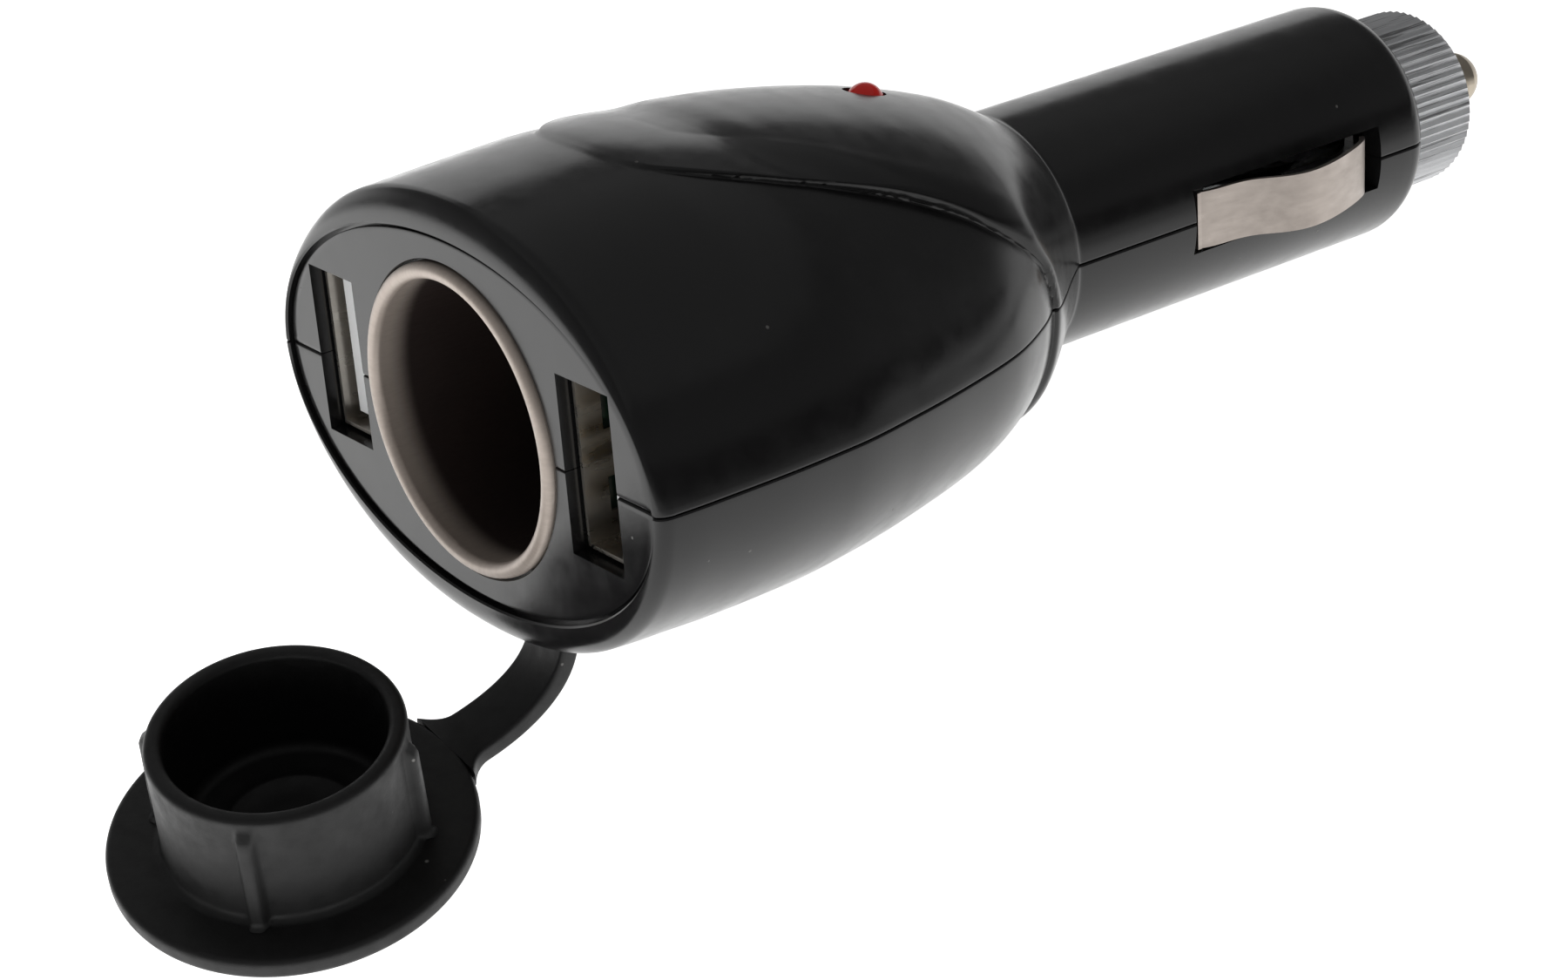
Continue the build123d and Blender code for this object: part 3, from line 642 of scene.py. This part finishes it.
prof = [(0.3, -1.7), (4, -1.7), (8, -1.7), (11.5, -1.7)]
prof += arc(13.15, -1.1, 0.6, -90, 0) + arc(13.25, -0.5, 0.5, 0, 90)
prof += [(12.4, 0.0), (11.4, 0.0)]
prof += arc(10.3, 0.72, 0.72, -90, -180, 7)
for z in np.linspace(1.2, 8.6, 20):
    prof.append((9.57 - 0.012 * z, z))
prof += arc(8.98, 9.05, 0.5, 0, 90) + arc(8.62, 9.05, 0.5, 90, 180)
for z in np.linspace(8.3, 1.5, 14):
    prof.append((8.12 - 0.02 * (8.3 - z) * 0.5, z))
prof += arc(7.25, 1.15, 0.85, 0, -90)
prof += [(6.0, 0.30), (5.2, 0.30), (5.05, 0.42), (4.7, 0.42), (4.55, 0.30), (2.5, 0.30), (0.3, 0.30)]
N_TH = 420
verts, faces = [], []
for i, (r, z) in enumerate(prof):
    outer_wall = 0.05 < z < 9.0 and r > 8.7
    for k in range(N_TH):
        th = 2 * math.pi * k / N_TH
        rr = r
        if outer_wall:
            d = min(abs((th - math.radians(45 + 90 * q) + math.pi) % (2 * math.pi) - math.pi) for q in range(4)) * 9.6
            side = 1 / (1 + math.exp((d - 0.62) / 0.09))
            top = min(1.0, max(0.0, (8.75 - z) / 0.9))
            rib_r = 10.30 + 0.10 * (1 - z / 9)
            rr = max(r, r + (rib_r - 9.5) * side * math.sin(math.pi / 2 * top) if r < rib_r else r)
        wob = 0.03 * math.sin(3 * th + 0.6) + 0.02 * math.sin(5 * th)
        zz = z + (0.05 * math.sin(2 * th + 0.9) * (r / 13.75) ** 2)
        rr = rr * (1 + 0.0012 * wob * 10)
        verts.append(cap_point(rr * math.cos(th), rr * math.sin(th), zz))
for i in range(len(prof) - 1):
    for k in range(N_TH):
        l = (k + 1) % N_TH
        faces.append((i * N_TH + k, i * N_TH + l, (i + 1) * N_TH + l, (i + 1) * N_TH + k))
faces.append(tuple(range(N_TH))[::-1])
faces.append(tuple(range((len(prof) - 1) * N_TH, len(prof) * N_TH)))
cap = new_object("dust_cap_rubber", verts, faces, "black_rubber", 50)
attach(cap, "cap")
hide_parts("dust_cap")

# ---------------------------------------------------------------------------
# rubber strap, one moulding with the cap: two pieces that meet half way
# ---------------------------------------------------------------------------
down = Vector((0, -45.8, -18.0))
end = cap_c + cap_d * 13.4 - cap_n * 0.85
bez = [down, down + Vector((0, 0.3, -4.6)), end + cap_d * 5.2, end]


def strap_line(t):
    """Centre point, direction and width direction at t, from the anchor (0) to the flange (1)."""
    u = (t - 0.16) / 0.84
    if u < 0:
        p = Vector((0, -45.8, -14.9)).lerp(down, t / 0.16)
        return p, Vector((0, 0, -1)), Vector((1, 0, 0))
    a, b, c, d = bez
    p = a * (1 - u) ** 3 + b * 3 * u * (1 - u) ** 2 + c * 3 * u * u * (1 - u) + d * u ** 3
    g = ((b - a) * (1 - u) ** 2 + (c - b) * 2 * u * (1 - u) + (d - c) * u * u).normalized()
    w = Vector((1, 0, 0)).lerp(cap_x, u * u * (3 - 2 * u))
    w = (w - g * w.dot(g)).normalized()
    return p, g, w


def strap_piece(name, t0, t1, n):
    ring = []
    for cx, cy, a0 in ((1, 1, 0), (-1, 1, 90), (-1, -1, 180), (1, -1, 270)):
        for i in range(6):
            a = math.radians(a0 + 90 * i / 5)
            ring.append((cx, cy, math.cos(a), math.sin(a)))
    v, f = [], []
    for i in range(n + 1):
        t = t0 + (t1 - t0) * i / n
        p, g, w = strap_line(t)
        h = w.cross(g).normalized()
        flare = max(0.0, (t - 0.88) / 0.12)
        hw = 2.5 + 1.5 * flare * flare
        ht = 0.8
        rad = 0.42
        for cx, cy, c, s in ring:
            v.append((p + w * (cx * (hw - rad) + rad * c) + h * (cy * (ht - rad) + rad * s)) * MM)
    m = len(ring)
    for i in range(n):
        for k in range(m):
            l = (k + 1) % m
            f.append((i * m + k, i * m + l, (i + 1) * m + l, (i + 1) * m + k))
    f.append(tuple(range(m))[::-1])
    f.append(tuple(range(n * m, (n + 1) * m)))
    return new_object(name, v, f, "black_rubber", 50)


MID = 0.5
root = strap_piece("strap_root", 0.0, MID, 60)
tail = strap_piece("strap_tail", MID, 1.0, 40)
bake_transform(root)
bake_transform(tail)
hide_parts("cap_strap")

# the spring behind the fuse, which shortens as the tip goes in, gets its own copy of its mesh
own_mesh(nodes["fuse_spring"])

# ---------------------------------------------------------------------------
# floor, light, camera
# ---------------------------------------------------------------------------
FLOOR_Z = -0.0334
bpy.ops.mesh.primitive_circle_add(vertices=96, radius=3.0, fill_type="NGON", location=(0, 0, FLOOR_Z))
floor = bpy.context.object
floor.name = "floor"
fm = Mat("pale_floor", (0.86, 0.86, 0.855), 0.6)
sep = fm.node("ShaderNodeSeparateXYZ", Vector=fm.coord)
dist = fm.math("SQRT", fm.math("ADD", fm.math("MULTIPLY", sep.outputs[0], sep.outputs[0]), fm.math("MULTIPLY", sep.outputs[1], sep.outputs[1])))
fm.put("Emission Color", (1, 1, 0.995, 1))
lean = fm.math("ADD", fm.math("MULTIPLY", sep.outputs[0], 0.6), fm.math("MULTIPLY", sep.outputs[1], 0.8))
glow = fm.math("MULTIPLY", fm.span(lean, -0.12, 0.0, 1.64, 0.99, True), fm.span(sep.outputs[0], 0.08, 0.22, 1.0, 0.3, True))
fm.feed(fm.b.inputs["Emission Strength"], fm.math("MULTIPLY", glow, fm.span(dist, 0.32, 0.80, 1.0, 0.5, True)))
fm.put("Specular IOR Level", 0.1)
floor.data.materials.append(fm.m)

# room: dim ceiling, white sweep behind the object, dark gap to the right of it
world = bpy.data.worlds.new("room")
scene.world = world
world.use_nodes = True
wt = world.node_tree
bg = wt.nodes["Background"]
bg.inputs["Color"].default_value = (1, 1, 1, 1)


def wmath(op, a, b=0.0, clamp=False):
    n = wt.nodes.new("ShaderNodeMath")
    n.operation = op
    n.use_clamp = clamp
    for i, v in enumerate((a, b)):
        if isinstance(v, bpy.types.NodeSocket):
            wt.links.new(v, n.inputs[i])
        else:
            n.inputs[i].default_value = v
    return n.outputs[0]


def wspan(v, a, b, lo, hi):
    n = wt.nodes.new("ShaderNodeMapRange")
    n.interpolation_type = "SMOOTHSTEP"
    wt.links.new(v, n.inputs["Value"])
    for k, q in (("From Min", a), ("From Max", b), ("To Min", lo), ("To Max", hi)):
        n.inputs[k].default_value = q
    return n.outputs["Result"]


way = wt.nodes.new("ShaderNodeSeparateXYZ")
wt.links.new(wt.nodes.new("ShaderNodeTexCoord").outputs["Generated"], way.inputs[0])
wx, wy, wz = way.outputs
el = wmath("MULTIPLY", wmath("ARCSINE", wz), 57.2958)
az = wmath("MULTIPLY", wmath("ARCTAN2", wy, wx), 57.2958)
turn = wmath("SUBTRACT", az, 32.0)
over = wspan(wmath("SUBTRACT", el, wmath("SUBTRACT", 14.0, wmath("MULTIPLY", turn, 0.08))), -1.5, 1.5, 0.0, 1.0)
under = wspan(wmath("SUBTRACT", el, wmath("ADD", wmath("MULTIPLY", turn, 0.29), -5.0)), -1.5, 1.5, 1.0, 0.0)
ceiling = wspan(el, 0.0, 80.0, 0.15, 0.10)
behind = wmath("MULTIPLY", wspan(az, 62.0, 95.0, 0.0, 1.0), wspan(el, 6.0, 22.0, 1.0, 0.0))
back_side = wspan(az, -170.0, -150.0, 1.0, 0.0)
behind = wmath("MAXIMUM", behind, wmath("MULTIPLY", back_side, wspan(el, 6.0, 22.0, 1.0, 0.0)))
gap = wmath("MULTIPLY", wmath("SUBTRACT", 1.0, over), wmath("SUBTRACT", 1.0, under))
gap = wmath("MULTIPLY", gap, wmath("MULTIPLY", wspan(az, -40.0, -15.0, 0.0, 1.0), wspan(az, 82.0, 92.0, 1.0, 0.0)))
behind = wmath("MAXIMUM", behind, wmath("MULTIPLY", under, wspan(az, 30.0, 55.0, 0.0, 1.0)))
light = wmath("ADD", ceiling, wmath("MULTIPLY", behind, 0.74))
light = wmath("MULTIPLY", light, wmath("SUBTRACT", 1.0, wmath("MULTIPLY", gap, 0.96)))
wt.links.new(light, bg.inputs["Strength"])


def area(name, loc, target, sx, sy, watts, color=(1, 1, 1)):
    l = bpy.data.lights.new(name, "AREA")
    l.shape = "RECTANGLE"
    l.size, l.size_y = sx, sy
    l.energy = watts
    l.color = color
    o = bpy.data.objects.new(name, l)
    scene.collection.objects.link(o)
    o.location = loc
    o.rotation_euler = (Vector(target) - Vector(loc)).to_track_quat("-Z", "Y").to_euler()
    return o


area("softbox_top", (0, 0, 1.3), (0, 0, 0), 2.6, 2.6, 2.6)

cam_data = bpy.data.cameras.new("camera")
cam = bpy.data.objects.new("camera", cam_data)
scene.collection.objects.link(cam)
right = Vector((0.61843617, 0.78276269, -0.06942097)).normalized()
fwd = Vector((-0.73474188, 0.5446324, -0.40438833)).normalized()
right = (right - fwd * right.dot(fwd)).normalized()
up = right.cross(fwd).normalized()
cam.matrix_world = Matrix((
    (right.x, up.x, -fwd.x, 0.18290492), (right.y, up.y, -fwd.y, -0.15873805),
    (right.z, up.z, -fwd.z, 0.0858), (0, 0, 0, 1)))
cam_data.lens = 72.2957
cam_data.sensor_width = 36.0
cam_data.sensor_fit = "HORIZONTAL"
cam_data.clip_start = 0.01
cam_data.clip_end = 20
scene.camera = cam
scene.view_settings.view_transform = "Standard"
